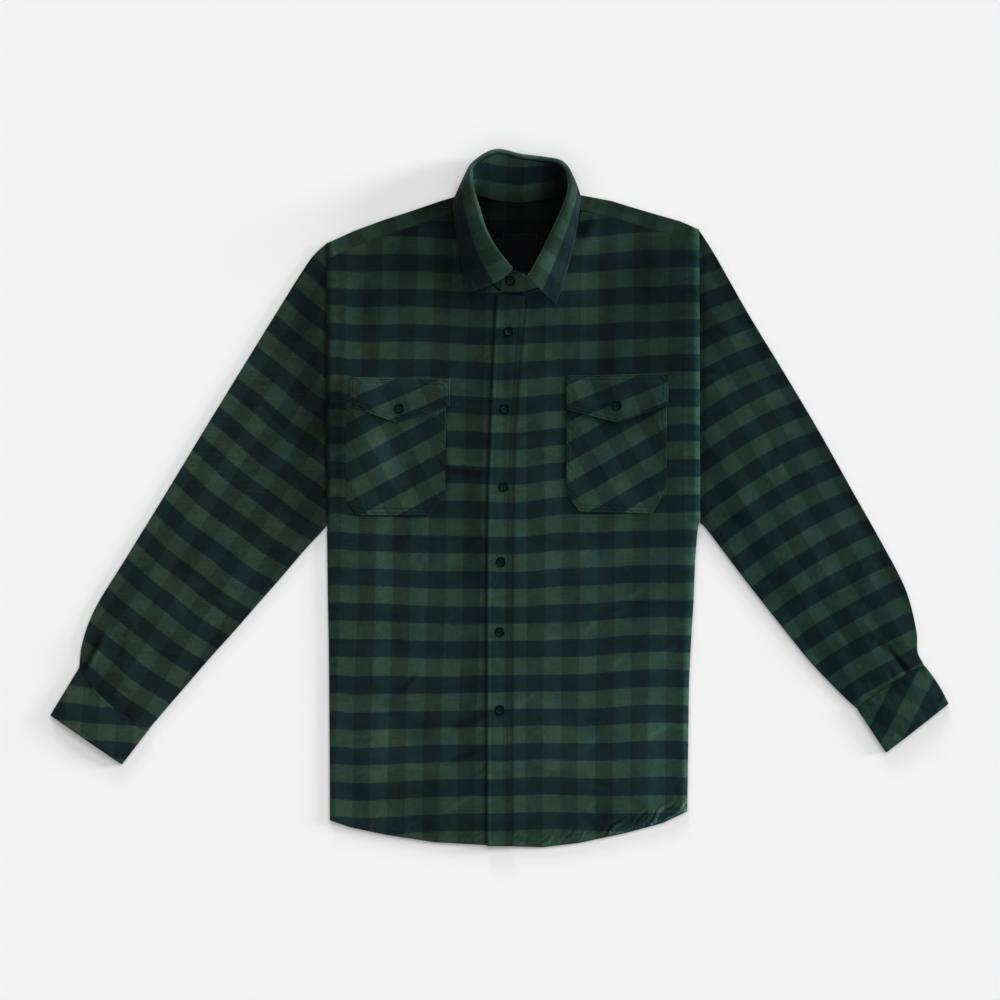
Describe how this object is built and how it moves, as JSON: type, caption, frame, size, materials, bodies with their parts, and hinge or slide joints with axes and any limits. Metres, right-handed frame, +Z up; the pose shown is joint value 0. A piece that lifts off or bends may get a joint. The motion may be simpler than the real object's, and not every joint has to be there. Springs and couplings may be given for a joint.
{
  "type": "flannel shirt laid flat",
  "caption": "Long-sleeved checked flannel shirt, buttoned and laid flat on its back, with a pointed collar, bias-cut yoke and flapped chest pockets.",
  "frame": {"origin": "middle of the laid shirt's outline, on the surface it lies on", "axes": "+X towards the wearer's left sleeve, +Y from hem to collar, +Z up from the surface"},
  "size_m": [1.0312, 0.7996, 0.0279],
  "materials": {
    "flannel": "brushed cotton flannel, yarn-dyed square check in olive green and deep navy, 20 mm squares",
    "label_satin": "plain near-black woven satin",
    "button_resin": "dark resin, satin gloss, rimmed"
  },
  "bodies": {
    "root": {"back": "flannel", "yoke": "flannel", "front_right": "flannel", "front_left": "flannel", "placket": "flannel", "collar_stand": "flannel", "collar_fall": "flannel", "sleeve_right": "flannel", "sleeve_left": "flannel", "cuff_right": "flannel", "cuff_left": "flannel", "pocket_right": "flannel", "pocket_left": "flannel", "flap_right": "flannel", "flap_left": "flannel", "neck_label": "label_satin", "button_stand": "button_resin", "button_1": "button_resin", "button_2": "button_resin", "button_3": "button_resin", "button_4": "button_resin", "button_5": "button_resin", "button_6": "button_resin", "button_flap_right": "button_resin", "button_flap_left": "button_resin"}
  },
  "joints": []
}
